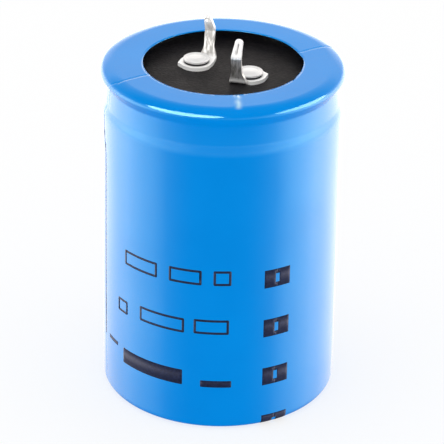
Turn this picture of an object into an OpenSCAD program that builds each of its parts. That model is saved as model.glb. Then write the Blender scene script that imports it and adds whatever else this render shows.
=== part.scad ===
// Snap-in aluminium electrolytic capacitor, stood on its base with the two solder tags upwards.
// The origin is at the middle of the base and +Z runs up the axis, towards the tags.
// Every thin piece, the can, the sleeve, the tags and the foil leads, is drawn as a bent sheet:
// a path for one face of it, with a radius at each corner, and a thickness on the path's left.

/* [Case] */
// Diameter over the sleeve, on the straight wall
case_d = 35.2; // [31:0.1:42]
// Height from the base to the top of the sleeved rim
case_h = 52; // [42:0.5:90]
// How far the curled rim stands out past the wall
rim_out = 0.3; // [0.1:0.05:0.6]
// How far the neck under the rim is drawn in from the wall
neck_in = 0.6; // [0.3:0.05:1]

/* [Sleeve] */
// Thickness of the shrunk sleeve
sleeve_t = 0.25; // [0.15:0.05:0.4]
// Width of the sleeve's lap over the top
top_lap = 5.9; // [3.5:0.1:7]
// How far the free edge of the top lap dips below the rim
lap_dip = 0.15; // [0.05:0.05:0.4]
// Width of the part of the top lap that dips
dip_w = 2.4; // [1.5:0.1:3]
// Width of the sleeve's lap under the base
base_lap = 4.6; // [3:0.1:8]
// Radius of the sleeve round the edge of the base
base_round = 1.3; // [0.8:0.1:2]
// Distance from the top of the rim down to the shoulder where the neck starts
shoulder_drop = 7; // [6.4:0.1:9]
// Radius of the sleeve round the top of the rim
rim_round = 1.2; // [1:0.05:1.25]
// Thickness of the insulating disc that the base lap holds against the can
disc_t = 0.4; // [0.2:0.05:0.8]

/* [Can] */
// Thickness of the aluminium sheet
can_wall = 0.5; // [0.3:0.05:0.6]
// Outside radius round the edge of the can's base
can_round = 1.5; // [1:0.1:2.5]
// Depth of the bead that the deck seats on, from the wall
bead_deep = 1.6; // [1.3:0.1:2.5]
// Width of the curled mouth, from its outside to its turned-in edge
curl_w = 1.8; // [1.75:0.05:2.4]
// Length of each score line of the vent in the base
vent_l = 14; // [8:0.5:20]
// Width of a score line
vent_w = 0.6; // [0.3:0.1:1]
// Depth of a score line, a good half of the sheet
vent_deep = 0.28; // [0.1:0.02:0.28]

/* [Deck] */
// Distance from the top of the rim down to the face of the rubber
deck_drop = 1.6; // [1.4:0.1:2.4]
// Thickness of the rubber facing
rubber_t = 1.4; // [0.8:0.1:2]
// Thickness of the laminate board under the rubber
board_t = 1.6; // [1.2:0.1:3]
// Width of the bevel that sits on the bead
seat_w = 0.6; // [0.3:0.05:0.8]

/* [Terminals] */
// Distance between the two pins at the height of the rim, where they enter a board
pin_pitch = 10; // [9:0.1:12]
// Direction of the negative pin from the axis, with the positive one opposite
pin_turn = -65.6; // [-180:0.1:180]
// Direction in which a pin bows, measured from the line of the pins
bow_turn = -36.7; // [-50:0.1:-20]
// Thickness of the tinned sheet
tag_t = 0.55; // [0.4:0.05:0.8]
// Width of a pin
pin_w = 1.5; // [1.2:0.1:1.8]
// Width of a pin at its round tip
tip_w = 1; // [0.7:0.1:1.1]
// Width of a pin's foot on the side over the rivet, from the pin's middle
foot_in = 1.8; // [1:0.05:2]
// Width of a pin's foot on its free side, from the pin's middle
foot_out = 1.15; // [0.95:0.05:1.3]
// Height above the lug's underside at which the foot has narrowed to the pin
foot_h = 2; // [1.4:0.1:3]
// Radius at which the foot runs into the pin
foot_round = 1.2; // [0.4:0.1:1.6]
// Distance from a rivet's axis to the middle of its pin's sheet, at the foot
pin_reach = 2.2; // [2.2:0.02:2.8]
// How far a pin stands to one side of its rivet
pin_side = 1.3; // [1:0.05:1.8]
// How far a pin bows outwards at its kink
bow = 1.2; // [0.8:0.05:1.8]
// How far the tip comes back in from the kink
tip_back = 1.3; // [0.5:0.05:1.6]
// Height of the kink above the lug's underside
kink_h = 4.5; // [4:0.1:5.5]
// Height of the tip above the lug's underside
tip_h = 7.05; // [6.4:0.05:8]
// Radius of a lug round its rivet
lug_r = 2.45; // [2.3:0.05:2.7]
// Distance from a rivet's axis to the point of its lug
nose_l = 2.75; // [2.75:0.05:3.4]
// Direction of the lug's point, measured from across the pin
nose_turn = 202; // [180:1:230]
// Depth of the stiffening groove pressed into a pin above its kink
groove_deep = 0.16; // [0.05:0.01:0.2]
// Width of that groove
groove_w = 0.45; // [0.2:0.05:0.5]
// Distance that the groove keeps from the kink and from the tip
groove_clear = 0.48; // [0.4:0.02:0.6]

/* [Rivets] */
// Diameter of a rivet's flat outer head
head_d = 3.9; // [3.4:0.05:4.1]
// Height of that head above the lug
head_h = 0.65; // [0.45:0.05:1]
// Thickness of the head's upright edge, below which it tapers in
head_edge = 0.3; // [0.2:0.05:0.4]
// Diameter at which the tapered head sits on the lug
head_seat_d = 3.1; // [2.9:0.05:3.3]
// Diameter of the shank
shank_d = 2.4; // [1.8:0.1:2.8]
// Diameter of the clenched inner head
clench_d = 4.4; // [3.8:0.1:4.8]
// Height of the clenched inner head
clench_h = 0.9; // [0.6:0.1:1.4]
// Diameter of the washer under the clenched head
washer_d = 5.2; // [4.9:0.1:5.8]
// Thickness of the washer
washer_t = 0.5; // [0.3:0.1:0.8]

/* [Wound element] */
// Room between the deck and the top of the element, for the folded foil leads
lead_room = 6; // [5:0.1:9]
// Diameter of the hole that the winding mandrel leaves
mandrel_d = 3.6; // [2:0.1:5]
// Thickness of the tape that closes the roll
tape_t = 0.15; // [0.1:0.05:0.3]
// How far the tape stops short of each end of the roll
tape_short = 4; // [2:0.5:8]
// Distance from one drawn turn of the roll's end to the next
turn_step = 1.9; // [1.5:0.1:3]
// Width of the spiral groove between the drawn turns
turn_gap = 0.4; // [0.2:0.1:0.6]
// Depth of the spiral groove in each end of the roll
turn_deep = 0.5; // [0.2:0.1:1]
// Thickness of the paper discs at the two ends of the roll
paper_t = 0.3; // [0.2:0.05:0.5]
// Thickness of a foil lead
lead_t = 0.25; // [0.15:0.05:0.3]
// Width of a foil lead
lead_w = 5; // [4.4:0.1:5.4]
// Distance from a rivet to where its outer lead leaves the roll
outer_lead = 7.6; // [6.8:0.1:8]
// Distance from a rivet to where its inner lead leaves the roll
inner_lead = 7; // [6.6:0.1:7.4]
// Height that a lead stands up out of the roll before it folds over
lead_rise = 2.2; // [1.8:0.1:2.8]

/* [Clearances] */
// Gap between the shrunk sleeve and the can
film_fit = 0.02; // [0.01:0.01:0.05]
// Gap between the deck and the can's mouth
deck_fit = 0.05; // [0.03:0.01:0.15]
// Gap round a rivet's shank in its holes
rivet_fit = 0.05; // [0.02:0.01:0.1]
// Gap between the taped roll and the can
roll_fit = 0.25; // [0.1:0.05:0.6]
// Gap round the paper discs and the insulating disc
disc_fit = 0.05; // [0.03:0.01:0.3]
// Gap round a foil lead in the slot of its paper guard
slot_fit = 0.2; // [0.1:0.05:0.5]

/* [Hidden] */
$fn = 96;
// Turn of an arc between two points of a path
arc_step = 15;
// Extra length of a tool that cuts right through
over = 1;

// Radii of the case, outwards in
lining_t = sleeve_t + film_fit;
wall_r = case_d / 2;
rim_r = wall_r + rim_out;
neck_r = wall_r - neck_in;
can_r = wall_r - lining_t;
mouth_r = neck_r - lining_t;
curl_r = rim_r - lining_t;
bead_r = can_r - bead_deep;

// Heights of the case and deck, from the base up
can_z = sleeve_t + disc_t;
floor_z = can_z + can_wall;
roll_z = floor_z + paper_t;
deck_z = case_h - deck_drop;
rubber_z = deck_z - rubber_t;
board_z = rubber_z - board_t;
guard_z = board_z - lead_room;
roll_top = guard_z - paper_t;
can_top = case_h - lining_t;

// Heights on the neck and rim, as drops from the top of the rim
neck_low = 4.7;
neck_high = 2.8;
rim_low = 1.6;
// Radii of the sleeve at the shoulder, at the neck's two ends and under the rim
shoulder_round = 4;
neck_low_round = 3;
neck_high_round = 1.4;
rim_low_round = 0.8;

// Deck and bead: the bead's upper flank lies along the deck's bevel
deck_r = mouth_r - can_wall - deck_fit;
flank_turn = 35;
crest_h = 0.8;
crest_round = 0.4;
bead_round = 0.8;
flank_rise = (mouth_r - bead_r) * tan(flank_turn);
// Straight left between the two radii of the curl
curl_flat = 0.05;
bead_z = board_z + (seat_w - (deck_r - bead_r)) * tan(flank_turn) - can_wall / cos(flank_turn);

// Rivets and leads, with the head's radii at the top and at the bottom of its edge
head_round = 0.12;
head_low_round = 0.06;
hole_d = shank_d + 2 * rivet_fit;
washer_z = board_z - 2 * lead_t - washer_t;
clench_z = washer_z - clench_h;
fold_r = 1;
bow_az = pin_turn + bow_turn;
bow_way = [cos(bow_az), sin(bow_az)];
rim_reach = pin_reach + bow * deck_drop / kink_h;
rivet_at = pin_pitch / 2 * [cos(pin_turn), sin(pin_turn)] - rim_reach * bow_way + pin_side * left(bow_way);
rivet_az = atan2(rivet_at[1], rivet_at[0]);

// Tags: inside radii of the bend out of the lug and of the kink, and radii in front view
bend_in = 0.15;
kink_in = 0.45;
foot_edge = 0.3;
kink_edge = 2;
// Where the lug's free side leaves its round, and where it reaches its full width
side_turn = -30;
side_y = 0.4;
bend_y = pin_reach - tag_t / 2 - bend_in;

// Wound roll
roll_r = can_r - can_wall - roll_fit - tape_t;
disc_r = can_r - can_round - disc_fit;
spiral_r0 = mandrel_d / 2 + turn_step / 2;
spiral_turns = floor((roll_r - spiral_r0 - turn_step / 2) / turn_step);

function unit(v) = v / norm(v);
function left(v) = [-v[1], v[0]];
function point(p) = [p[0], p[1]];

// Points of an arc that rounds corner p between neighbours a and b with radius r
function corner(a, p, b, r) =
    let (u = unit(a - p), v = unit(b - p), half = acos(u * v) / 2)
    let (centre = p + unit(u + v) * r / sin(half), reach = r / tan(half))
    let (from = p + u * reach - centre, to = p + v * reach - centre)
    let (turn = sign(from[0] * to[1] - from[1] * to[0]) * (180 - 2 * half), start = atan2(from[1], from[0]))
    let (steps = max(2, ceil(abs(turn) / arc_step)))
    [for (i = [0:steps]) centre + r * [cos(start + turn * i / steps), sin(start + turn * i / steps)]];

// A path of [x, y] or [x, y, radius] points, with its inner corners rounded
function rounded(path) = [for (i = [0:len(path) - 1])
    each i == 0 || i == len(path) - 1 || len(path[i]) < 3 ? [point(path[i])]
        : corner(point(path[i - 1]), point(path[i]), point(path[i + 1]), path[i][2])];

// A line of points moved to its left by t, with mitred corners
function beside(line, t) = [for (i = [0:len(line) - 1])
    let (m = left(unit(line[max(i, 1)] - line[max(i, 1) - 1])))
    let (n = left(unit(line[min(i + 1, len(line) - 1)] - line[min(i, len(line) - 2)])))
    line[i] + t * (m + n) / (1 + m * n)];

// A path moved to its left by t: left-hand corners lose t of their radius, right-hand ones gain it
function moved(path, t) = let (line = beside([for (p = path) point(p)], t))
    [for (i = [0:len(path) - 1]) len(path[i]) < 3 ? line[i]
        : let (a = path[i] - path[i - 1], b = point(path[i + 1]) - point(path[i]))
            [line[i][0], line[i][1], path[i][2] - t * sign(a[0] * b[1] - a[1] * b[0])]];

function reversed(line) = [for (i = [len(line) - 1:-1:0]) line[i]];

// Section of a sheet of thickness t, on the left of a line of points, or of a path with radii
function strip(line, t) = concat(line, reversed(beside(line, t)));
function sheet(path, t) = strip(rounded(path), t);

// Places a piece of one terminal: the negative side is 0, the positive side is 1
module at_rivet(side) {
    rotate(180 * side) translate([rivet_at[0], rivet_at[1], 0]) children();
}

module rivet_holes(z, h) {
    for (side = [0, 1]) at_rivet(side) translate([0, 0, z - over]) cylinder(d = hole_d, h = h + 2 * over);
}

// Outer face of the sleeve, from under the base up over the rim
sleeve_path = [
    [wall_r - base_lap, 0],
    [wall_r, 0, base_round],
    [wall_r, case_h - shoulder_drop, shoulder_round],
    [neck_r, case_h - neck_low, neck_low_round],
    [neck_r, case_h - neck_high, neck_high_round],
    [rim_r, case_h - rim_low, rim_low_round],
    [rim_r, case_h, rim_round],
    [wall_r - top_lap + dip_w, case_h],
    [wall_r - top_lap, case_h - lap_dip]];

module sleeve() {
    color([0.01, 0.45, 0.82]) rotate_extrude() polygon(sheet(sleeve_path, sleeve_t));
}

module end_disc() {
    color([0.1, 0.35, 0.6]) translate([0, 0, sleeve_t]) cylinder(r = disc_r, h = disc_t);
}

// Drawn can: base, wall, bead under the deck, and the mouth curled down onto the rubber.
// The mouth lies against the sleeve, so it takes the corners of the sleeve's neck and rim.
module can() {
    lining = moved(sleeve_path, lining_t);
    color([0.8, 0.81, 0.82]) difference() {
        rotate_extrude() polygon(sheet([
            [0, can_z],
            [can_r, can_z, can_round],
            [can_r, bead_z - crest_h - (can_r - bead_r) * tan(flank_turn), bead_round],
            [bead_r, bead_z - crest_h, crest_round],
            [bead_r, bead_z, crest_round],
            [mouth_r, bead_z + flank_rise, can_wall + deck_fit],
            lining[4],
            lining[5],
            lining[6],
            [curl_r - curl_w, can_top, curl_w - lining[6][2] - curl_flat],
            [curl_r - curl_w, deck_z]], can_wall));
        for (turn = [45, -45]) translate([0, 0, can_z]) rotate(turn)
            cube([vent_l, vent_w, 2 * vent_deep], center = true);
    }
}

module seal_rubber() {
    color([0.12, 0.12, 0.13]) difference() {
        translate([0, 0, rubber_z]) cylinder(r = deck_r, h = rubber_t);
        rivet_holes(rubber_z, rubber_t);
    }
}

module deck_board() {
    color([0.35, 0.2, 0.12]) difference() {
        rotate_extrude() polygon([
            [0, board_z],
            [deck_r - seat_w, board_z],
            [deck_r, board_z + seat_w * tan(flank_turn)],
            [deck_r, rubber_z],
            [0, rubber_z]]);
        rivet_holes(board_z, board_t);
    }
}

// Outer face of a pin in side view: bent up out of the lug, bowed out and kinked back to the tip
pin_back = let (back = pin_reach + tag_t / 2) rounded([
    [pin_reach / 2, 0],
    [back, 0, tag_t + bend_in],
    [back + bow, kink_h, tag_t + kink_in],
    [back + bow - tip_back, tip_h]]);

// One side of a pin in front view, from its foot up to the middle of its tip
function pin_edge(foot, side) = [for (p = rounded([
    [foot, 0],
    [foot, tag_t, foot_edge],
    [pin_w / 2, foot_h, foot_round],
    [pin_w / 2, kink_h, kink_edge],
    [tip_w / 2, tip_h, tip_w / 2],
    [0, tip_h]])) [side * p[0], p[1]]];

module pin_front() {
    polygon(concat(pin_edge(foot_out, 1), reversed(pin_edge(foot_in, -1))));
}

// Extrudes a side view across the pin
module across(w) {
    rotate([90, 0, 90]) linear_extrude(w, center = true) children();
}

// Extrudes a front view along the way that the pin faces, right through it
module along() {
    rotate([90, 0, 0]) linear_extrude(4 * (pin_reach + bow), center = true) children();
}

// The stiffening groove, or its ridge, above the kink: a slot with round ends that reaches
// from one depth in the sheet to another, counted from the pin's outer face
module groove(from, to) {
    straight = tip_h - kink_h - 2 * groove_clear - groove_w;
    intersection() {
        across(groove_w) polygon(strip(beside(pin_back, from), to - from));
        along() translate([0, (kink_h + tip_h) / 2]) {
            square([groove_w, straight], center = true);
            for (end = [-1, 1]) translate([0, end * straight / 2]) circle(d = groove_w, $fn = 24);
        }
    }
}

module lug_outline() {
    nose = nose_l * [cos(nose_turn), sin(nose_turn)];
    tangent = acos(lug_r / nose_l);
    circle(r = lug_r);
    polygon([
        [0, 0],
        lug_r * [cos(nose_turn - tangent), sin(nose_turn - tangent)],
        nose,
        lug_r * [cos(nose_turn + tangent), sin(nose_turn + tangent)]]);
    polygon([
        [0, 0],
        lug_r * [cos(side_turn), sin(side_turn)],
        [pin_side + foot_out, side_y],
        [pin_side + foot_out, bend_y],
        [pin_side - foot_in, bend_y]]);
}

// One stamped tag: the lug that the rivet holds, and the pin bent up from its side
module tag(side) {
    color([0.9, 0.9, 0.9]) at_rivet(side) translate([0, 0, deck_z]) rotate(bow_az - 90) difference() {
        union() {
            linear_extrude(tag_t) lug_outline();
            translate([pin_side, 0, 0]) {
                intersection() {
                    across(2 * foot_in) polygon(strip(pin_back, tag_t));
                    along() pin_front();
                }
                groove(tag_t - groove_deep, tag_t + groove_deep);
            }
        }
        translate([pin_side, 0, 0]) groove(-groove_deep, groove_deep);
        translate([0, 0, -over]) cylinder(d = hole_d, h = tag_t + 2 * over);
    }
}

// Rivet through lug, rubber, board, foil leads and washer, clenched inside
module rivet(side) {
    top = deck_z + tag_t + head_h;
    color([0.86, 0.87, 0.88]) at_rivet(side) rotate_extrude() polygon(rounded([
        [0, top],
        [head_d / 2, top, head_round],
        [head_d / 2, top - head_edge, head_low_round],
        [head_seat_d / 2, deck_z + tag_t],
        [shank_d / 2, deck_z + tag_t],
        [shank_d / 2, washer_z],
        [clench_d / 2, washer_z],
        [clench_d / 2, clench_z, clench_h / 2],
        [0, clench_z]]));
}

module washer(side) {
    color([0.82, 0.83, 0.84]) at_rivet(side) translate([0, 0, washer_z]) difference() {
        cylinder(d = washer_d, h = washer_t);
        translate([0, 0, -over]) cylinder(d = hole_d, h = washer_t + 2 * over);
    }
}

// A foil lead out of the roll, folded over to its rivet; level 0 lies on the board
module lead(side, turn, root, level) {
    top = board_z - level * lead_t;
    color([0.75, 0.76, 0.78]) at_rivet(side) rotate(rivet_az + turn) difference() {
        rotate([90, 0, 0]) linear_extrude(lead_w, center = true) polygon(sheet([
            [root, roll_top],
            [root, roll_top + lead_rise, fold_r],
            [washer_d / 2 + fold_r, top, fold_r],
            [-washer_d / 2, top]], lead_t));
        translate([0, 0, top - over]) cylinder(d = hole_d, h = 2 * over);
    }
}

module lead_slot(side, turn, root) {
    at_rivet(side) rotate(rivet_az + turn)
        translate([root - lead_t - slot_fit, -lead_w / 2 - slot_fit, roll_top - over])
            cube([lead_t + 2 * slot_fit, lead_w + 2 * slot_fit, paper_t + 2 * over]);
}

// Paper disc between the roll and the riveted leads, slotted for them
module lead_guard() {
    color([0.85, 0.78, 0.62]) difference() {
        translate([0, 0, roll_top]) cylinder(r = disc_r, h = paper_t);
        for (side = [0, 1]) {
            lead_slot(side, 0, outer_lead);
            lead_slot(side, 90, inner_lead);
        }
    }
}

module base_paper() {
    color([0.85, 0.78, 0.62]) translate([0, 0, floor_z]) cylinder(r = disc_r, h = paper_t);
}

// Outline of the spiral that shows the roll's turns at its end
function spiral(aside) = [for (turn = [0:arc_step:360 * spiral_turns])
    (spiral_r0 + turn_step * turn / 360 + aside) * [cos(turn), sin(turn)]];

// Foils and papers wound together: one roll, with the turns drawn in both ends
module winding() {
    color([0.78, 0.72, 0.6]) difference() {
        translate([0, 0, roll_z]) cylinder(r = roll_r, h = roll_top - roll_z);
        translate([0, 0, roll_z - over]) cylinder(d = mandrel_d, h = roll_top - roll_z + 2 * over);
        for (z = [roll_z, roll_top]) translate([0, 0, z - turn_deep]) linear_extrude(2 * turn_deep)
            polygon(concat(spiral(-turn_gap / 2), reversed(spiral(turn_gap / 2))));
    }
}

module closing_tape() {
    color([0.85, 0.7, 0.4]) translate([0, 0, roll_z + tape_short]) difference() {
        cylinder(r = roll_r + tape_t, h = roll_top - roll_z - 2 * tape_short);
        translate([0, 0, -over]) cylinder(r = roll_r, h = roll_top - roll_z);
    }
}

sleeve();
end_disc();
can();
seal_rubber();
deck_board();
tag(0);  // tag_negative
tag(1);  // tag_positive
rivet(0);  // rivet_negative
rivet(1);  // rivet_positive
washer(0);  // washer_negative
washer(1);  // washer_positive
lead(0, 0, outer_lead, 0);  // cathode_lead_outer
lead(0, 90, inner_lead, 1);  // cathode_lead_inner
lead(1, 0, outer_lead, 0);  // anode_lead_outer
lead(1, 90, inner_lead, 1);  // anode_lead_inner
lead_guard();
winding();
closing_tape();
base_paper();
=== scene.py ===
import math

import bmesh
import bpy
from mathutils import Matrix, Vector


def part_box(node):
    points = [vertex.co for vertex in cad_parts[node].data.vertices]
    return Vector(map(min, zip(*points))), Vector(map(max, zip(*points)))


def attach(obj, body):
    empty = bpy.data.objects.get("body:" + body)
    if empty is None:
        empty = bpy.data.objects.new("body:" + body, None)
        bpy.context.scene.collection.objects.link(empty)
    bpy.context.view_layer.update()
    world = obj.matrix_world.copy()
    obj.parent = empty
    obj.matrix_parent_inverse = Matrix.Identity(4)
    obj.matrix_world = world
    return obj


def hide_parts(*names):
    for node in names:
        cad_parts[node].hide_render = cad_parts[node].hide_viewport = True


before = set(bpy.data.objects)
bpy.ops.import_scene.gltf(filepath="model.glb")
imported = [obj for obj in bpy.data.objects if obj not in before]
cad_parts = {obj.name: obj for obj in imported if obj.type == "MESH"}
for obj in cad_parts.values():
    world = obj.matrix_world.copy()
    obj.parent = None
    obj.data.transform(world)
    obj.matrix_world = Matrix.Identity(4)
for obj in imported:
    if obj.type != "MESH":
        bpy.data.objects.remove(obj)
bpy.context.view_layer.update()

scene = bpy.context.scene
mm = 0.001
print("frame loaded:", len(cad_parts), "nodes")


def newObject(name, bm, material):
    mesh = bpy.data.meshes.new(name)
    bm.to_mesh(mesh)
    bm.free()
    piece = bpy.data.objects.new(name, mesh)
    scene.collection.objects.link(piece)
    mesh.materials.append(material)
    for face in mesh.polygons:
        face.use_smooth = True
    return piece


def addBevel(piece, width, segments, angle):
    edge = piece.modifiers.new("edge", "BEVEL")
    edge.width = width
    edge.segments = segments
    edge.limit_method = "ANGLE"
    edge.angle_limit = math.radians(angle)
    edge.harden_normals = True


# a wire of (x, z) or (x, z, radius) points in millimetres, its corners rounded
def roundedWire(bm, points, segments=8):
    verts = [bm.verts.new((p[0] * mm, 0, p[1] * mm)) for p in points]
    for pair in zip(verts, verts[1:]):
        bm.edges.new(pair)
    for vert, p in zip(verts, points):
        if len(p) > 2:
            a, b = [e.other_vert(vert).co - vert.co for e in vert.link_edges]
            bmesh.ops.bevel(bm, geom=[vert], offset=p[2] * mm / math.tan(a.angle(b) / 2),
                            segments=segments, profile=0.5, affect="VERTICES", material=-1)


def spinWire(bm, steps):
    bmesh.ops.spin(bm, geom=bm.verts[:] + bm.edges[:], cent=(0, 0, 0), axis=(0, 0, 1),
                   angle=math.tau, steps=steps, use_merge=True)
    bmesh.ops.remove_doubles(bm, verts=bm.verts[:], dist=1e-7)
    bmesh.ops.recalc_face_normals(bm, faces=bm.faces[:])


def newMaterial(name, colour, roughness, metallic=0.0):
    material = bpy.data.materials.new(name)
    material.use_nodes = True
    shader = material.node_tree.nodes["Principled BSDF"]
    shader.inputs["Base Color"].default_value = (*colour, 1)
    shader.inputs["Roughness"].default_value = roughness
    shader.inputs["Metallic"].default_value = metallic
    return material, material.node_tree.nodes, material.node_tree.links, shader


def noiseOn(nodes, links, scale, detail=3, stretch=(1, 1, 1)):
    place = nodes.new("ShaderNodeTexCoord")
    mapping = nodes.new("ShaderNodeMapping")
    mapping.inputs["Scale"].default_value = stretch
    noise = nodes.new("ShaderNodeTexNoise")
    noise.inputs["Scale"].default_value = scale
    noise.inputs["Detail"].default_value = detail
    links.new(place.outputs["Object"], mapping.inputs["Vector"])
    links.new(mapping.outputs["Vector"], noise.inputs["Vector"])
    return noise.outputs["Fac"]


def rampOn(nodes, links, value, stops):
    ramp = nodes.new("ShaderNodeValToRGB")
    while len(ramp.color_ramp.elements) < len(stops):
        ramp.color_ramp.elements.new(0.5)
    for element, (at, colour) in zip(ramp.color_ramp.elements, stops):
        element.position = at
        element.color = (*colour, 1)
    links.new(value, ramp.inputs["Fac"])
    return ramp.outputs["Color"]


def spreadOn(nodes, links, value, low, high):
    spread = nodes.new("ShaderNodeMapRange")
    spread.inputs["To Min"].default_value = low
    spread.inputs["To Max"].default_value = high
    links.new(value, spread.inputs["Value"])
    return spread.outputs["Result"]


def attributeOn(nodes, name):
    attribute = nodes.new("ShaderNodeAttribute")
    attribute.attribute_name = name
    return attribute.outputs["Fac"]


# mixes two colours, each given as a plain colour or as a socket
def mixOn(nodes, links, factor, first, second):
    mix = nodes.new("ShaderNodeMixRGB")
    links.new(factor, mix.inputs["Fac"])
    for socket, colour in (("Color1", first), ("Color2", second)):
        if isinstance(colour, tuple):
            mix.inputs[socket].default_value = (*colour, 1)
        else:
            links.new(colour, mix.inputs[socket])
    return mix.outputs["Color"]


# object height, from 0 at low to 1 at high, both in millimetres
def heightOn(nodes, links, low, high):
    place = nodes.new("ShaderNodeTexCoord")
    split = nodes.new("ShaderNodeSeparateXYZ")
    links.new(place.outputs["Object"], split.inputs[0])
    height = nodes.new("ShaderNodeMapRange")
    height.inputs["From Min"].default_value = low * mm
    height.inputs["From Max"].default_value = high * mm
    links.new(split.outputs[2], height.inputs["Value"])
    return height.outputs["Result"]


def bumpOn(nodes, links, shader, height, strength, distance, under=None):
    bump = nodes.new("ShaderNodeBump")
    bump.inputs["Strength"].default_value = strength
    bump.inputs["Distance"].default_value = distance
    links.new(height, bump.inputs["Height"])
    if under:
        links.new(under, bump.inputs["Normal"])
    links.new(bump.outputs["Normal"], shader.inputs["Normal"])
    return bump.outputs["Normal"]


# blue shrink film: the colour wanders a little, goes white where a fold strains it and along one flank of the
# wrinkle as a painted highlight, and tints its gloss
def makeFilmMaterial():
    look = {"deep": (0.0003, 0.262, 0.8), "pale": (0.0006, 0.285, 0.845), "strainedAndLit": (0.5, 0.78, 0.96),
            "tint": (0.51, 0.97, 0.99), "cloudScale": 90, "roughness": (0.07, 0.11), "roughScale": 400,
            "wavesScale": 85, "wavesStretch": (1, 1, 0.7), "waves": (0.5, 0.0004),
            "grainScale": 900, "grain": (0.05, 0.00005)}
    material, nodes, links, shader = newMaterial("blueFilm", look["deep"], look["roughness"][0])
    shader.inputs["Specular Tint"].default_value = (*look["tint"], 1)
    cloud = noiseOn(nodes, links, look["cloudScale"])
    blue = rampOn(nodes, links, cloud, [(0.3, look["deep"]), (0.7, look["pale"])])
    # pale where a fold strains the film, and paled along one flank of the wrinkle as a painted highlight
    colour = mixOn(nodes, links, attributeOn(nodes, "strainAndHighlight"), blue, look["strainedAndLit"])
    links.new(colour, shader.inputs["Base Color"])
    rough = noiseOn(nodes, links, look["roughScale"])
    links.new(spreadOn(nodes, links, rough, *look["roughness"]), shader.inputs["Roughness"])
    waves = noiseOn(nodes, links, look["wavesScale"], 1, look["wavesStretch"])
    under = bumpOn(nodes, links, shader, waves, *look["waves"])
    bumpOn(nodes, links, shader, noiseOn(nodes, links, look["grainScale"], 2), *look["grain"], under)
    return material


def makeInkMaterial():
    look = {"dark": (0.01, 0.014, 0.042), "wearAndShade": (0.02, 0.03, 0.085), "roughness": 0.45, "shine": 0.25,
            "speckleScale": 3500}
    material, nodes, links, shader = newMaterial("printInkAndShadeLine", look["dark"], look["roughness"])
    shader.inputs["Specular IOR Level"].default_value = look["shine"]
    speckle = noiseOn(nodes, links, look["speckleScale"], 2)
    links.new(rampOn(nodes, links, speckle, [(0.35, look["dark"]), (0.72, look["wearAndShade"])]),
              shader.inputs["Base Color"])
    return material


def makeRubberMaterial():
    look = {"dark": (0.007, 0.0065, 0.008), "light": (0.021, 0.019, 0.021), "mottleScale": 1900, "shine": 0.18,
            "roughness": (0.42, 0.62), "roughScale": 300, "grainScale": 2600, "grain": (0.6, 0.00008)}
    material, nodes, links, shader = newMaterial("deckRubber", look["dark"], look["roughness"][0])
    shader.inputs["Specular IOR Level"].default_value = look["shine"]
    mottle = noiseOn(nodes, links, look["mottleScale"], 4)
    links.new(rampOn(nodes, links, mottle, [(0.32, look["dark"]), (0.7, look["light"])]),
              shader.inputs["Base Color"])
    rough = noiseOn(nodes, links, look["roughScale"])
    links.new(spreadOn(nodes, links, rough, *look["roughness"]), shader.inputs["Roughness"])
    bumpOn(nodes, links, shader, noiseOn(nodes, links, look["grainScale"], 4), *look["grain"])
    return material


# tinned sheet: satin on the lug, with painted shade on the lug round the rivet's seat under the head's edge,
# streaked along the pin and, on the side that faces outwards, with painted shade in its groove
def makeTinMaterial(name, middle, outwards):
    look = {"bright": (0.95, 0.94, 0.92), "dull": (0.44, 0.43, 0.41), "dark": (0.06, 0.055, 0.06), "satin": 0.2,
            "drawn": 0.85, "heights": (50.7, 56.0), "pinShare": [(0.06, 0), (0.17, 1), (0.75, 1), (0.83, 0.3)],
            "seat": (1.75, 2.0), "streakScale": 2800, "streakStretch": (1, 1, 0.07), "roughness": (0.55, 0.3),
            "streaks": (0.25, 0.00006)}
    material, nodes, links, shader = newMaterial(name, look["bright"], look["roughness"][0], metallic=1)
    streak = noiseOn(nodes, links, look["streakScale"], 4, look["streakStretch"])
    share = rampOn(nodes, links, heightOn(nodes, links, *look["heights"]),
                   [(at, (v, v, v)) for at, v in look["pinShare"]])

    place = nodes.new("ShaderNodeTexCoord")
    flat = nodes.new("ShaderNodeVectorMath")
    flat.operation = "MULTIPLY"
    flat.inputs[1].default_value = (1, 1, 0)
    links.new(place.outputs["Object"], flat.inputs[0])
    away = nodes.new("ShaderNodeVectorMath")
    away.operation = "DISTANCE"
    away.inputs[1].default_value = (middle.x, middle.y, 0)
    links.new(flat.outputs["Vector"], away.inputs[0])
    # painted shade: dark on the lug out to the seat's radius round the rivet, where the head's edge shades it
    seatShade = nodes.new("ShaderNodeMapRange")
    seatShade.inputs["From Min"].default_value, seatShade.inputs["From Max"].default_value = [v * mm for v in look["seat"]]
    links.new(away.outputs["Value"], seatShade.inputs["Value"])
    facing = nodes.new("ShaderNodeVectorMath")
    facing.operation = "DOT_PRODUCT"
    facing.inputs[1].default_value = outwards
    links.new(place.outputs["Normal"], facing.inputs[0])
    # painted shade in the groove, only on the face that turns outwards
    wearAndShade = nodes.new("ShaderNodeMath")
    wearAndShade.operation = "MULTIPLY"
    wearAndShade.use_clamp = True
    links.new(attributeOn(nodes, "groove"), wearAndShade.inputs[0])
    links.new(facing.outputs["Value"], wearAndShade.inputs[1])

    lug = mixOn(nodes, links, seatShade.outputs["Result"], look["dark"], look["bright"])
    pin = rampOn(nodes, links, streak, [(0.38, look["dull"]), (0.58, look["bright"])])
    sheet = mixOn(nodes, links, share, lug, pin)
    links.new(mixOn(nodes, links, wearAndShade.outputs[0], sheet, look["dark"]), shader.inputs["Base Color"])
    links.new(spreadOn(nodes, links, share, look["satin"], look["drawn"]), shader.inputs["Metallic"])
    links.new(spreadOn(nodes, links, streak, *look["roughness"]), shader.inputs["Roughness"])
    bumpOn(nodes, links, shader, streak, *look["streaks"])
    return material
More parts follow.
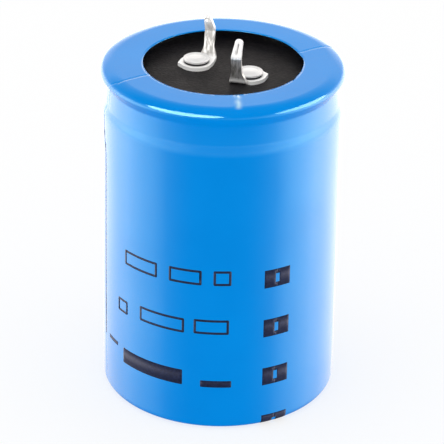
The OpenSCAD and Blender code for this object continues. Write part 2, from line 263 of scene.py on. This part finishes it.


# rivets: satin, with painted shade on the taper under the head's edge
def makeRivetMaterial():
    look = {"bright": (0.85, 0.85, 0.85), "dull": (0.1, 0.095, 0.105), "heights": (50.9, 51.7), "edge": 51.27,
            "blur": 0.03, "metallic": 0.5, "roughness": (0.46, 0.3),
            "mottleScale": 1500, "mottle": (0.15, 0.00004)}
    material, nodes, links, shader = newMaterial("rivetAluminium", look["bright"], look["roughness"][0],
                                                 look["metallic"])
    low, high = look["heights"]
    at = (look["edge"] - low) / (high - low)
    # painted shade: dark below the edge height, on the taper under the head
    links.new(rampOn(nodes, links, heightOn(nodes, links, low, high),
                     [(at - look["blur"], look["dull"]), (at + look["blur"], look["bright"])]),
              shader.inputs["Base Color"])
    mottle = noiseOn(nodes, links, look["mottleScale"], 4)
    links.new(spreadOn(nodes, links, mottle, *look["roughness"]), shader.inputs["Roughness"])
    bumpOn(nodes, links, shader, mottle, *look["mottle"])
    return material


def makeAluminiumMaterial(name, bright, roughness, grain):
    dull = tuple(0.86 * c for c in bright)
    material, nodes, links, shader = newMaterial(name, bright, roughness, metallic=1)
    mottle = noiseOn(nodes, links, grain, 4)
    links.new(rampOn(nodes, links, mottle, [(0.3, dull), (0.65, bright)]), shader.inputs["Base Color"])
    links.new(spreadOn(nodes, links, mottle, roughness + 0.08, roughness - 0.06), shader.inputs["Roughness"])
    bumpOn(nodes, links, shader, mottle, 0.15, 0.00004)
    return material


def makePaperMaterial(name, light, dark, grain, stretch=(1, 1, 1)):
    material, nodes, links, shader = newMaterial(name, light, 0.8)
    fibre = noiseOn(nodes, links, grain, 5, stretch)
    links.new(rampOn(nodes, links, fibre, [(0.3, dark), (0.7, light)]), shader.inputs["Base Color"])
    bumpOn(nodes, links, shader, fibre, 0.4, 0.00005)
    return material


film = makeFilmMaterial()
inkAndShade = makeInkMaterial()
rubber = makeRubberMaterial()
rivetAluminium = makeRivetMaterial()
canAluminium = makeAluminiumMaterial("canAluminium", (0.82, 0.83, 0.84), 0.32, 500)
foilAluminium = makeAluminiumMaterial("foilAluminium", (0.8, 0.81, 0.83), 0.25, 1500)
guardPaper = makePaperMaterial("guardPaper", (0.72, 0.6, 0.38), (0.6, 0.48, 0.28), 2500)
rollPaper = makePaperMaterial("rollPaper", (0.68, 0.58, 0.42), (0.45, 0.4, 0.33), 1800, (1, 1, 0.1))
laminate = makePaperMaterial("boardLaminate", (0.2, 0.1, 0.045), (0.12, 0.055, 0.025), 900)
tape = makePaperMaterial("rollTape", (0.66, 0.44, 0.14), (0.55, 0.35, 0.1), 700)
discFilm = makePaperMaterial("discFilm", (0.02, 0.16, 0.46), (0.015, 0.12, 0.38), 1200)
print("materials made")


# a table of (at, value) pairs, read between its rows
def between(table, at):
    if at <= table[0][0]:
        return table[0][1]
    for (low, first), (high, last) in zip(table, table[1:]):
        if at <= high:
            return first + (last - first) * (at - low) / (high - low)
    return table[-1][1]


# shrink sleeve: two lay-flat creases run over the lap and down the wall, and one small wrinkle crosses the lap
sleeveShape = {
    "wallR": 17.6, "rimR": 17.9, "neckR": 17.0, "top": 52.0, "thick": 0.08,
    "baseIn": 13.0, "baseRound": 1.3, "lapIn": 11.7, "lapFlat": 13.6, "dip": 0.06, "lapOut": 16.5, "fall": 0.6,
    # drops from the top to the shoulder, to both ends of the neck and to the rim, and the neck's slope
    "shoulder": 6.85, "neckLow": 5.6, "neckHigh": 2.52, "rimLow": 1.32, "slope": 0.22,
    # stretches of the spin: where each ends, in degrees, and its steps
    "start": -170, "stretches": [(-148, 63), (-87, 44), (-76, 44), (12, 63), (28, 46), (190, 116)],
    "wallRows": (8, 16, 24, 30, 35, 38, 40, 41.5, 43, 44),
    "lapRows": (12.1, 12.5, 12.9, 13.4, 14.7, 15.3, 15.8, 16.2),
    "creaseWide": 0.17, "creaseDeep": 0.06, "creaseFrom": 0.1,
    # azimuth of the left crease by height on the wall and by radius on the lap, then of the right one
    "wallCreases": [
        [(0, -163.8), (14, -165.2), (31, -164.2), (39.5, -163.6), (42.3, -167), (44.5, -168.5), (46.7, -166),
         (48.6, -163.6), (50.2, -160), (51.2, -155.5), (52, -152)],
        [(0, 16.5), (46, 17), (50, 20), (52, 23.3)]],
    "lapCreases": [[(12.4, -154.5), (15, -152.8), (17, -152)], [(12, 19.1), (14, 21.3), (17.5, 23.5)]],
    "wrinkle": [(12.3, -80.9), (14, -81.6), (16.3, -82.6)], "wrinkleWide": 0.4, "wrinkleTall": 0.26,
    "wrinkleRise": [(12.0, 0.3), (12.8, 1), (14.2, 0.55), (15.3, 0.9), (16.3, 0)],
    # how far the film's free edge wanders outwards, by azimuth, and how wide the edge is
    "edgeWide": 0.02,
    "edgeWander": [(-60, 0), (-44, 0.05), (-34, 0.02), (-30, 0.16), (-24, -0.02), (-8, 0.03), (2, 0.12),
                   (9, 0.15), (14, -0.02), (24, -0.06), (40, 0.04), (75, 0), (110, 0.07), (150, -0.03), (175, 0)],
    # pale strain along the creases on the lap and on the wall, then a painted highlight along one flank of the
    # wrinkle: its strength, how far it sits off the wrinkle's middle, and how it rises and falls with the radius
    "lapStrain": 0.16, "wallStrain": 0.06, "wrinkleHighlight": 0.85, "highlightAside": 0.5,
    "highlightRise": [(12.0, 0.3), (12.6, 0.75), (13.6, 0.4), (14.4, 0.9), (16.0, 1), (16.7, 0)]}


def offCrease(turn, crease, radius):
    return math.radians((turn - crease + 180) % 360 - 180) * radius


def makeSleeve():
    s = sleeveShape
    bm = bmesh.new()
    # radius, height and rounding, from under the base up the wall and over the rim
    roundedWire(bm, [
        (s["baseIn"], 0),
        (s["wallR"], 0, s["baseRound"]),
        (s["wallR"], s["top"] - s["shoulder"], 3),
        (s["neckR"] + s["slope"], s["top"] - s["neckLow"], 2),
        (s["neckR"], s["top"] - s["neckHigh"], 0.6),
        (s["rimR"], s["top"] - s["rimLow"], 0.45),
        (s["rimR"], s["top"] - s["fall"], 0.85),
        (s["lapOut"], s["top"], 4),
        (s["lapFlat"], s["top"], 3),
        (s["lapIn"], s["top"] - s["dip"])])
    # more rows on the long wall and on the lap, for the creases and the wrinkle
    for height in s["wallRows"]:
        bmesh.ops.bisect_plane(bm, geom=bm.verts[:] + bm.edges[:], plane_co=(0, 0, height * mm),
                               plane_no=(0, 0, 1))
    for radius in s["lapRows"]:
        bmesh.ops.bisect_plane(bm, geom=bm.verts[:] + bm.edges[:], plane_co=(radius * mm, 0, 0),
                               plane_no=(1, 0, 0))
    bmesh.ops.rotate(bm, verts=bm.verts[:], matrix=Matrix.Rotation(math.radians(s["start"]), 3, "Z"))
    wire, turn = bm.verts[:] + bm.edges[:], s["start"]
    for end, steps in s["stretches"]:
        wire = bmesh.ops.spin(bm, geom=wire, cent=(0, 0, 0), axis=(0, 0, 1), angle=math.radians(end - turn),
                              steps=steps, use_merge=False)["geom_last"]
        turn = end
    bmesh.ops.remove_doubles(bm, verts=bm.verts[:], dist=1e-6)
    bmesh.ops.recalc_face_normals(bm, faces=bm.faces[:])
    bm.normal_update()
    # pale strain along the creases, and a painted highlight on one flank of the wrinkle
    strainAndHighlight = bm.verts.layers.float.new("strainAndHighlight")
    pushes = []
    for vert in bm.verts:
        x, y, z = vert.co / mm
        radius, turn = math.hypot(x, y), math.degrees(math.atan2(y, x))
        onLap = z > s["top"] - s["fall"] and radius < s["neckR"]
        push = 0
        if z > s["creaseFrom"]:
            for wall, lap in zip(s["wallCreases"], s["lapCreases"]):
                crease = between(lap, radius) if onLap else between(wall, z)
                fold = math.exp(-(offCrease(turn, crease, radius) / s["creaseWide"]) ** 2)
                push -= s["creaseDeep"] * fold
                vert[strainAndHighlight] = max(vert[strainAndHighlight], (s["lapStrain"] if onLap else s["wallStrain"]) * fold)
        if onLap:
            aside = offCrease(turn, between(s["wrinkle"], radius), radius) / s["wrinkleWide"]
            push += s["wrinkleTall"] * between(s["wrinkleRise"], radius) * math.exp(-aside ** 2)
            # painted highlight: one flank of the wrinkle is paled, as if it caught a light
            paintedHighlight = s["wrinkleHighlight"] * between(s["highlightRise"], radius)
            vert[strainAndHighlight] = max(vert[strainAndHighlight], paintedHighlight * math.exp(-(aside - s["highlightAside"]) ** 2))
        if onLap and radius < s["lapIn"] + s["edgeWide"]:
            pushes.append(Vector((x, y, 0)).normalized() * between(s["edgeWander"], turn) * mm)
        else:
            pushes.append(vert.normal * push * mm)
    for vert, push in zip(bm.verts, pushes):
        vert.co += push
    piece = newObject("sleeveFilm", bm, film)
    wall = piece.modifiers.new("wall", "SOLIDIFY")
    wall.thickness = s["thick"] * mm
    wall.offset = -1
    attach(piece, "root")
    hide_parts("sleeve")


makeSleeve()
print("sleeve made")


# print on the sleeve: plain outlined boxes, plain fields and four blocks with a slot, and a thin dark line down
# the left crease as painted shade
printShape = {
    "proud": 0.012, "thick": 0.02, "ends": (-170, -50), "slice": 0.4, "baseRows": 9, "baseStep": 0.25,
    "stroke": 0.36, "frameCorner": 0.2, "fieldCorner": 0.12,
    # painted shade line along the left crease, drawn in ink: its ends, the height of a step and half its width
    "creaseShadeLine": (9, 45, 1.5, 0.1),
    # azimuth and height of the middle, then the mark's own width and height
    "frames": [(-131.5, 25.35, 6.4, 2.4), (-106.5, 25.45, 5.0, 2.4), (-88.5, 25.5, 2.6, 2.4),
               (-144, 16.8, 2.4, 2.2), (-119, 17.25, 7.6, 2.4), (-93.5, 17.4, 5.2, 2.4)],
    "fields": [(-125.5, 8.5, 11.1, 2.5), (-91.0, 7.8, 4.6, 1.1), (-153.5, 9.6, 3.0, 0.6)],
    # polarity blocks: azimuth, heights of their tops, half width, height, and the open slot
    "blockTurn": -61.2, "blockTops": (26.2, 18.05, 9.9, 1.8), "blockHalf": 2.1, "blockTall": 2.9,
    "slotWide": 0.62, "slotTall": 1.4}


# a flat plate of ink with rounded corners, lying in X and Y until it is wrapped
def inkPlate(bm, points, corner=0.0, segments=4):
    verts = [bm.verts.new((x * mm, y * mm, 0)) for x, y in points]
    bm.faces.new(verts)
    if corner:
        bmesh.ops.bevel(bm, geom=verts, offset=corner * mm, segments=segments, profile=0.5,
                        affect="VERTICES", material=-1)


def inkBox(bm, across, up, wide, tall, corner, segments=4):
    x, y = wide / 2, tall / 2
    inkPlate(bm, [(across - x, up - y), (across + x, up - y), (across + x, up + y), (across - x, up + y)],
             corner, segments)


def inkFrame(bm, across, up, wide, tall, corner, stroke):
    before = set(bm.faces)
    inkBox(bm, across, up, wide, tall, corner)
    face = max([f for f in bm.faces if f not in before], key=lambda f: f.calc_area())
    bmesh.ops.inset_region(bm, faces=[face], thickness=stroke * mm, use_even_offset=True, use_boundary=True)
    bmesh.ops.delete(bm, geom=[face], context="FACES")


def inkBlock(bm, across, top):
    p = printShape
    low, half, slot = top - p["blockTall"], p["blockHalf"], p["slotWide"] / 2
    slotHigh, slotLow = [(top + low + way * p["slotTall"]) / 2 for way in (1, -1)]
    # two halves round the slot, so that it stays open
    for way in (-1, 1):
        outline = [(0, top), (way * half, top), (way * half, low), (0, low), (0, slotLow), (way * slot, slotLow),
                   (way * slot, slotHigh), (0, slotHigh)]
        inkPlate(bm, [(across + x, y) for x, y in (outline if way < 0 else reversed(outline))])


def makePrint():
    p = printShape
    wallR, baseRound = sleeveShape["wallR"], sleeveShape["baseRound"]
    bm = bmesh.new()
    along = lambda turn: math.radians(turn) * wallR
    for turn, up, wide, tall in p["frames"]:
        inkFrame(bm, along(turn), up, wide, tall, p["frameCorner"], p["stroke"])
    for turn, up, wide, tall in p["fields"]:
        inkBox(bm, along(turn), up, wide, tall, p["fieldCorner"], segments=3)
    for top in p["blockTops"]:
        inkBlock(bm, along(p["blockTurn"]), top)
    # painted shade: a thin dark ink line down the left crease, in steps
    low, high, step, half = p["creaseShadeLine"]
    for n in range(round((high - low) / step)):
        (x, y), (x2, y2) = [(along(between(sleeveShape["wallCreases"][0], z)), z)
                            for z in (low + n * step, low + (n + 1) * step)]
        inkPlate(bm, [(x - half, y), (x + half, y), (x2 + half, y2), (x2 - half, y2)])
    # cut into narrow slices, and wrap them round the wall and over the round of the base
    across, last = [along(turn) for turn in p["ends"]]
    while across < last:
        bmesh.ops.bisect_plane(bm, geom=bm.verts[:] + bm.edges[:] + bm.faces[:], plane_co=(across * mm, 0, 0),
                               plane_no=(1, 0, 0))
        across += p["slice"]
    for step in range(p["baseRows"]):
        bmesh.ops.bisect_plane(bm, geom=bm.verts[:] + bm.edges[:] + bm.faces[:],
                               plane_co=(0, (baseRound - p["baseStep"] * step) * mm, 0), plane_no=(0, 1, 0))
    bmesh.ops.triangulate(bm, faces=[f for f in bm.faces if len(f.verts) > 4])
    for vert in bm.verts:
        turn, up = vert.co.x / mm / wallR, vert.co.y / mm
        over = max(0, baseRound - up) / baseRound
        radius = wallR - baseRound * (1 - math.cos(over)) + p["proud"] * math.cos(over)
        if over:
            up = baseRound - (baseRound + p["proud"]) * math.sin(over)
        vert.co = Vector((radius * math.cos(turn), radius * math.sin(turn), up)) * mm
    piece = newObject("printMarks", bm, inkAndShade)
    wall = piece.modifiers.new("wall", "SOLIDIFY")
    wall.thickness = p["thick"] * mm
    wall.offset = -1
    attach(piece, "root")


makePrint()
print("print made")


# solder tags: a lug under the rivet's head, and a pin bent up from it, bowed out and kinked back to a round tip
tagShape = {
    "pinTurn": -65.6, "bowTurn": -36.7, "sheet": 0.55, "deck": 50.4, "side": 1.3,
    "lugR": 2.45, "lugSteps": 72, "hole": 1.25, "holeSteps": 40, "nose": 2.75, "noseTurn": 202, "noseHalf": 27,
    "armTurns": (-29, 101), "armAbove": 2,
    "armCorner": 0.4, "bendY": 1.775, "footOut": 1.15, "footIn": 1.3, "relief": 2.1,
    "tipAside": -0.2, "tipHalf": 0.04,
    # outer face in side view, and the edge of the pin in front view on its free side and on the other one
    "face": [(1.775, 0), (2.475, 0, 0.7), (3.675, 4.5, 1.0), (2.375, 7.05)],
    "outEdge": [(1.15, 0), (1.15, 0.55, 0.3), (0.75, 2.0, 1.2), (0.75, 4.7, 2), (0.3, 7.05, 0.45), (-0.2, 7.05)],
    "inEdge": [(1.3, 0), (1.3, 0.55, 0.3), (0.75, 1.8, 1.0), (0.75, 4.7, 2), (0.7, 7.05, 0.45), (0.2, 7.05)],
    "rows": (1.0, 1.3, 1.6, 2.0, 2.4, 2.9, 3.4, 4.85, 4.98, 5.1, 5.25, 6.3, 6.45, 6.57, 6.7, 6.8, 6.9, 6.98,
             7.03),
    "columns": (0, 0.06, 0.16, 0.26, 0.34, 0.42, 0.5, 0.58, 0.66, 0.74, 0.84, 0.94, 1),
    # the pressed groove on the pin: its width, depth and sharpness, the share of painted shade in it, and its
    # ends
    "grooveWide": 0.23, "grooveDeep": 0.24, "grooveSharp": 1.5, "grooveWorn": 0.85,
    "grooveEnds": [(4.9, 0), (5.2, 1), (6.3, 1), (6.6, 0)],
    "edgeRound": 0.07}


# points of a rounded wire in order, cut at some heights as well
def wirePoints(points, rows=()):
    bm = bmesh.new()
    roundedWire(bm, points, 6)
    for height in rows:
        bmesh.ops.bisect_plane(bm, geom=bm.verts[:] + bm.edges[:], plane_co=(0, 0, height * mm),
                               plane_no=(0, 0, 1))
    bmesh.ops.remove_doubles(bm, verts=bm.verts[:], dist=1e-7)
    start = Vector((points[0][0], 0, points[0][1])) * mm
    vert, last = min(bm.verts, key=lambda v: (v.co - start).length), None
    line = []
    while vert:
        line.append((vert.co.x / mm, vert.co.z / mm))
        ways = [e.other_vert(vert) for e in vert.link_edges if e.other_vert(vert) is not last]
        last, vert = vert, ways[0] if ways else None
    bm.free()
    return line


def tagPlace(side):
    t = tagShape
    low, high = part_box(("rivet_negative", "rivet_positive")[side])
    middle = (Vector(low) + Vector(high)) / 2
    middle.z = t["deck"] * mm
    turn = math.radians(t["pinTurn"] + t["bowTurn"] - 90 + 180 * side)
    return Matrix.Translation(middle) @ Matrix.Rotation(turn, 4, "Z")


def makeTag(side):
    t = tagShape
    bm = bmesh.new()
    wearAndShade = bm.verts.layers.float.new("groove")
    # lug: a circle, opened for its nose and for the arm that the pin is bent from
    lug = bmesh.ops.create_circle(bm, cap_ends=False, segments=t["lugSteps"],
                                  radius=t["lugR"] * mm)["verts"]
    low, high = t["armTurns"]
    turnOf = {v: math.degrees(math.atan2(v.co.y, v.co.x)) for v in lug}
    isNose = lambda turn: abs((turn - t["noseTurn"] + 180) % 360 - 180) < t["noseHalf"]
    bmesh.ops.delete(bm, geom=[v for v in lug if low < turnOf[v] < high or isNose(turnOf[v])], context="VERTS")
    ends = [v for v in bm.verts if len(v.link_edges) == 1]
    armEnds = sorted((v for v in ends if v.co.x > 0 or v.co.y > t["armAbove"] * mm), key=lambda v: v.co.x)
    noseEnds = [v for v in ends if v not in armEnds]
    noseTurn = math.radians(t["noseTurn"])
    nose = bm.verts.new((t["nose"] * math.cos(noseTurn) * mm, t["nose"] * math.sin(noseTurn) * mm, 0))
    for end in noseEnds:
        bm.edges.new((end, nose))
    span = t["footIn"] + t["footOut"]
    row = [bm.verts.new(((t["side"] - t["footIn"] + span * c) * mm, t["bendY"] * mm, 0)) for c in t["columns"]]
    relief = bm.verts.new((row[0].co.x, t["relief"] * mm, 0))
    corner = bm.verts.new((row[-1].co.x, t["armCorner"] * mm, 0))
    chain = [armEnds[0], relief] + row + [corner, armEnds[-1]]
    for pair in zip(chain, chain[1:]):
        bm.edges.new(pair)
    bmesh.ops.create_circle(bm, cap_ends=False, segments=t["holeSteps"], radius=t["hole"] * mm)
    bmesh.ops.triangle_fill(bm, use_beauty=True, edges=bm.edges[:], normal=(0, 0, 1))
    # pin: the bend's edge is extruded row by row along the outer face
    out = [(z, x) for x, z in wirePoints(t["outEdge"])]
    inner = [(z, x) for x, z in wirePoints(t["inEdge"])]
    face = wirePoints(t["face"], t["rows"])
    for (lastY, lastZ), (y, z) in zip(face, face[1:]):
        edges = [e for e in bm.edges if e.verts[0] in row and e.verts[1] in row]
        made = bmesh.ops.extrude_edge_only(bm, edges=edges)["geom"]
        row = sorted((g for g in made if isinstance(g, bmesh.types.BMVert)), key=lambda v: v.co.x)
        right = max(between(out, z), t["tipAside"] + t["tipHalf"])
        left = max(between(inner, z), t["tipHalf"] - t["tipAside"])
        inwards = Vector((0, lastZ - z, y - lastY)).normalized()
        deep = t["grooveDeep"] * between(t["grooveEnds"], z)
        for column, vert in zip(t["columns"], row):
            x = -left + (left + right) * column
            aside = abs(x - (right - left) / 2) / t["grooveWide"]
            press = deep * max(0, math.cos(min(1, aside) * math.pi / 2)) ** t["grooveSharp"]
            vert.co = (Vector((t["side"] + x, y, z)) + inwards * press) * mm
            # how much painted shade the groove gets, by its depth
            vert[wearAndShade] = t["grooveWorn"] * (press / t["grooveDeep"]) ** 2
    bmesh.ops.recalc_face_normals(bm, faces=bm.faces[:])
    under = min(bm.faces, key=lambda f: f.calc_center_median().y)
    if under.normal.z > 0:
        bmesh.ops.reverse_faces(bm, faces=bm.faces[:])
    place = tagPlace(side)
    bm.transform(place)
    name = ("tagNegative", "tagPositive")[side]
    tin = makeTinMaterial(name + "Tin", place.translation, place.to_3x3() @ Vector((0, 1, 0)))
    piece = newObject(name, bm, tin)
    wall = piece.modifiers.new("wall", "SOLIDIFY")
    wall.thickness = t["sheet"] * mm
    wall.offset = -1
    wall.use_even_offset = True
    addBevel(piece, t["edgeRound"] * mm, 2, 50)
    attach(piece, "root")
    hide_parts(("tag_negative", "tag_positive")[side])


for side in (0, 1):
    makeTag(side)
print("tags made")


# rivets: a flat head with two faint rings and a tapered underside, the shank, and the clenched end inside
rivetShape = {
    "head": 1.95, "top": 51.6, "edge": 0.3, "seat": 1.55, "seatAt": 50.95, "shank": 1.2,
    "clench": 2.2, "clenchTop": 46.4, "clenchLow": 45.5, "rings": ((1.28, 0.1, 0.05), (1.62, 0.1, 0.06)),
    "ringRound": 0.05, "dish": 0.03, "dishAtRing": 0.4, "headRound": 0.12, "underRound": 0.06, "clenchRound": 0.4,
    "steps": 72}


def makeRivet(side):
    r = rivetShape
    node = ("rivet_negative", "rivet_positive")[side]
    low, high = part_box(node)
    points = [(0, r["top"] - r["dish"])]
    for at, wide, deep in r["rings"]:
        points += [
            (at - wide, r["top"] - r["dish"] * r["dishAtRing"]),
            (at, r["top"] - deep, r["ringRound"]),
            (at + wide, r["top"])]
    points += [
        (r["head"], r["top"], r["headRound"]),
        (r["head"], r["top"] - r["edge"], r["underRound"]),
        (r["seat"], r["seatAt"]),
        (r["shank"], r["seatAt"]),
        (r["shank"], r["clenchTop"]),
        (r["clench"], r["clenchTop"]),
        (r["clench"], r["clenchLow"], r["clenchRound"]),
        (0, r["clenchLow"])]
    bm = bmesh.new()
    roundedWire(bm, points, 4)
    spinWire(bm, r["steps"])
    bmesh.ops.translate(bm, verts=bm.verts[:], vec=((low[0] + high[0]) / 2, (low[1] + high[1]) / 2, 0))
    piece = newObject(("rivetNegative", "rivetPositive")[side], bm, rivetAluminium)
    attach(piece, "root")
    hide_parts(node)


for side in (0, 1):
    makeRivet(side)
print("rivets made")


# CAD nodes that stay get their finish
nodeLooks = {
    "end_disc": discFilm, "can": canAluminium, "seal_rubber": rubber, "deck_board": laminate,
    "washer_negative": canAluminium, "washer_positive": canAluminium,
    "cathode_lead_outer": foilAluminium, "cathode_lead_inner": foilAluminium,
    "anode_lead_outer": foilAluminium, "anode_lead_inner": foilAluminium,
    "lead_guard": guardPaper, "winding": rollPaper, "closing_tape": tape, "base_paper": guardPaper}


def dressNodes():
    for name, material in nodeLooks.items():
        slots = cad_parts[name].material_slots
        if not slots:
            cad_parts[name].data.materials.append(material)
        for materialSlot in slots:
            materialSlot.material = material


dressNodes()
print("nodes dressed")


# floor: pale, and a little bright of itself, so that it stays near white round the object; clear from below
def makeFloor():
    look = {"size": 3.0, "under": 0.02, "colour": (0.27, 0.27, 0.27), "glow": 0.735}
    bm = bmesh.new()
    bmesh.ops.create_grid(bm, x_segments=2, y_segments=2, size=look["size"])
    material, nodes, links, shader = newMaterial("paleFloor", look["colour"], 0.9)
    shader.inputs["Specular IOR Level"].default_value = 0
    shader.inputs["Emission Color"].default_value = (1, 1, 1, 1)
    shader.inputs["Emission Strength"].default_value = look["glow"]
    fromBelow = nodes.new("ShaderNodeNewGeometry").outputs["Backfacing"]
    links.new(spreadOn(nodes, links, fromBelow, 1, 0), shader.inputs["Alpha"])
    floor = newObject("floor", bm, material)
    floor.location.z = -look["under"] * mm
    floor.visible_glossy = False


# a soft box, given by its direction from the object: degrees round from the camera's side, and degrees up
def makeSoftBox(name, turn, rise, wide, tall, brightness, far=0.9, shape="RECTANGLE", gloss=True, matt=True,
                pieces=()):
    turn, rise = math.radians(turn), math.radians(rise)
    place = Vector((math.sin(turn) * math.cos(rise), -math.cos(turn) * math.cos(rise), math.sin(rise))) * far
    lamp = bpy.data.lights.new(name, "AREA")
    lamp.shape = shape
    lamp.size, lamp.size_y = wide, tall
    lamp.energy = brightness * math.pi * wide * tall
    light = bpy.data.objects.new(name, lamp)
    scene.collection.objects.link(light)
    light.matrix_world = Matrix.Translation(place) @ place.to_track_quat("Z", "Y").to_matrix().to_4x4()
    light.visible_camera = False
    light.visible_glossy, light.visible_diffuse = gloss, matt
    if pieces:
        lit = bpy.data.collections.new(name + "Pieces")
        for piece in pieces:
            lit.objects.link(bpy.data.objects[piece])
        light.light_linking.receiver_collection = lit


# the room: white to the camera and even for matt surfaces; gloss sees bright walls at the sides of the table,
# which fade towards the camera's side, with a dim studio above them
def makeWorld():
    look = {
        "white": 1.05, "even": 0.84, "wall": 9, "sideways": 0.06, "warm": (1.03, 0.97, 0.92),
        # brightness of the table, of the walls at eye height and of the studio, from straight behind (0) to the
        # front (1)
        "table": [(0, 0.22), (0.08, 0.315), (0.16, 0.38), (0.265, 0.43), (0.396, 0.5), (0.535, 0.445),
                  (0.671, 0.345), (0.74, 0.24), (0.8, 0.115), (0.86, 0.055), (0.91, 0.022), (0.95, 0.006),
                  (1, 0)],
        "walls": [(0, 0.3), (0.09, 0.43), (0.22, 0.53), (0.32, 0.63), (0.45, 0.78), (0.58, 0.72), (0.7, 0.57),
                  (0.82, 0.36), (0.91, 0.18), (0.97, 0.1), (1, 0.09)],
        "studio": [(0, 0.125), (0.3, 0.097), (0.5, 0.04), (0.7, 0.008), (1, 0)],
        # how much of each is seen, from straight down (0) to straight up (1)
        "tableRise": [(0, 0), (0.065, 0.045), (0.15, 0.22), (0.244, 0.6), (0.255, 0.7), (0.267, 0.82),
                      (0.28, 0.96), (0.295, 1), (0.35, 0.83), (0.42, 0.31), (0.485, 0)],
        "wallsRise": [(0.3, 0), (0.4, 0.45), (0.455, 0.85), (0.5, 1), (0.585, 0.6), (0.675, 0.12), (0.75, 0)],
        "studioRise": [(0.585, 0), (0.7, 0.8), (0.725, 1), (0.8, 0.5), (0.875, 0.1), (1, 0)]}
    world = bpy.data.worlds.new("room")
    scene.world = world
    world.use_nodes = True
    world.cycles.sampling_method = "NONE"
    nodes, links = world.node_tree.nodes, world.node_tree.links
    nodes.clear()

    def math2(operation, first, second):
        node = nodes.new("ShaderNodeMath")
        node.operation = operation
        for socket, value in zip(node.inputs, (first, second)):
            if isinstance(value, (int, float)):
                socket.default_value = value
            else:
                links.new(value, socket)
        return node.outputs[0]

    def light(colour, strength):
        node = nodes.new("ShaderNodeBackground")
        node.inputs["Color"].default_value = (1, 1, 1, 1)
        for socket, value in (("Color", colour), ("Strength", strength)):
            if isinstance(value, (int, float)):
                node.inputs[socket].default_value = value
            elif isinstance(value, tuple):
                node.inputs[socket].default_value = (*value, 1)
            elif value:
                links.new(value, node.inputs[socket])
        return node.outputs[0]

    def mixed(factor, first, second):
        node = nodes.new("ShaderNodeMixShader")
        links.new(factor, node.inputs["Fac"])
        links.new(first, node.inputs[1])
        links.new(second, node.inputs[2])
        return node.outputs[0]

    def greys(value, stops):
        return rampOn(nodes, links, value, [(at, (v, v, v)) for at, v in stops])

    place = nodes.new("ShaderNodeTexCoord")
    split = nodes.new("ShaderNodeSeparateXYZ")
    links.new(place.outputs["Generated"], split.inputs[0])
    x, y, z = split.outputs
    level = math2("SQRT", math2("ADD", math2("MULTIPLY", x, x), math2("MULTIPLY", y, y)), 0)
    front = math2("ADD", math2("MULTIPLY", math2("DIVIDE", y, math2("MAXIMUM", level, 0.0001)), -0.5), 0.5)
    rise = math2("ADD", math2("MULTIPLY", z, 0.5), 0.5)
    seen = [math2("MULTIPLY", greys(front, look[part]), greys(rise, look[part + "Rise"]))
            for part in ("table", "walls", "studio")]
    total = math2("ADD", math2("ADD", seen[0], seen[1]), seen[2])
    aside = math2("ADD", math2("MULTIPLY", x, look["sideways"] * look["wall"]), look["wall"])
    path = nodes.new("ShaderNodeLightPath")
    gloss = light(look["warm"], math2("MULTIPLY", total, aside))
    room = mixed(path.outputs["Is Glossy Ray"], light(None, look["even"]), gloss)
    out = nodes.new("ShaderNodeOutputWorld")
    links.new(mixed(path.outputs["Is Camera Ray"], room, light(None, look["white"])), out.inputs["Surface"])


cameraFit = {
    "distance": 0.3963, "elevation": 27.10, "aimHigh": 0.02601, "focalPixels": 2637.8,
    "frame": 444, "offset": (-1.675, -1.867), "roll": 0.955}


def makeCamera():
    c = cameraFit
    data = bpy.data.cameras.new("camera")
    camera = bpy.data.objects.new("camera", data)
    scene.collection.objects.link(camera)
    scene.camera = camera
    rise, roll = math.radians(c["elevation"]), math.radians(c["roll"])
    right, up = Vector((1, 0, 0)), Vector((0, math.sin(rise), math.cos(rise)))
    back = Vector((0, -math.cos(rise), math.sin(rise)))
    x, y = math.cos(roll) * right + math.sin(roll) * up, math.cos(roll) * up - math.sin(roll) * right
    turn = Matrix((x, y, back)).transposed().to_4x4()
    camera.matrix_world = Matrix.Translation(Vector((0, 0, c["aimHigh"])) + back * c["distance"]) @ turn
    data.sensor_width = 36
    data.lens = c["focalPixels"] * data.sensor_width / c["frame"]
    data.shift_x = -c["offset"][0] / c["frame"]
    data.shift_y = c["offset"][1] / c["frame"]
    data.clip_start, data.clip_end = 0.01, 20


makeFloor()
makeWorld()
metalPieces = ["tagNegative", "tagPositive", "rivetNegative", "rivetPositive"]
lamps = {
    "stripLeft": dict(turn=-38, rise=35, wide=1.1, tall=0.8, brightness=14, shape="ELLIPSE", matt=False,
                      pieces=["sleeveFilm"]),
    "stripRight": dict(turn=81, rise=25, wide=1.0, tall=0.55, brightness=9, shape="ELLIPSE", matt=False,
                       pieces=["sleeveFilm"]),
    "metalKey": dict(turn=-25, rise=38, wide=0.9, tall=0.5, brightness=1.65, pieces=metalPieces),
    "metalTop": dict(turn=0, rise=90, wide=0.6, tall=0.6, brightness=1.45, pieces=metalPieces),
    "pinFill": dict(turn=-25, rise=3, wide=0.9, tall=0.7, brightness=0.9, pieces=["tagPositive"]),
    "sideLeft": dict(turn=-80, rise=20, wide=0.4, tall=0.5, brightness=0.7, gloss=False),
    "sideRight": dict(turn=80, rise=20, wide=0.4, tall=0.5, brightness=0.7, gloss=False),
    "overhead": dict(turn=0, rise=90, wide=0.6, tall=0.6, brightness=0.85, gloss=False)}
for name, lamp in lamps.items():
    makeSoftBox(name, **lamp)
makeCamera()
scene.view_settings.view_transform = "Standard"
print("stage made")
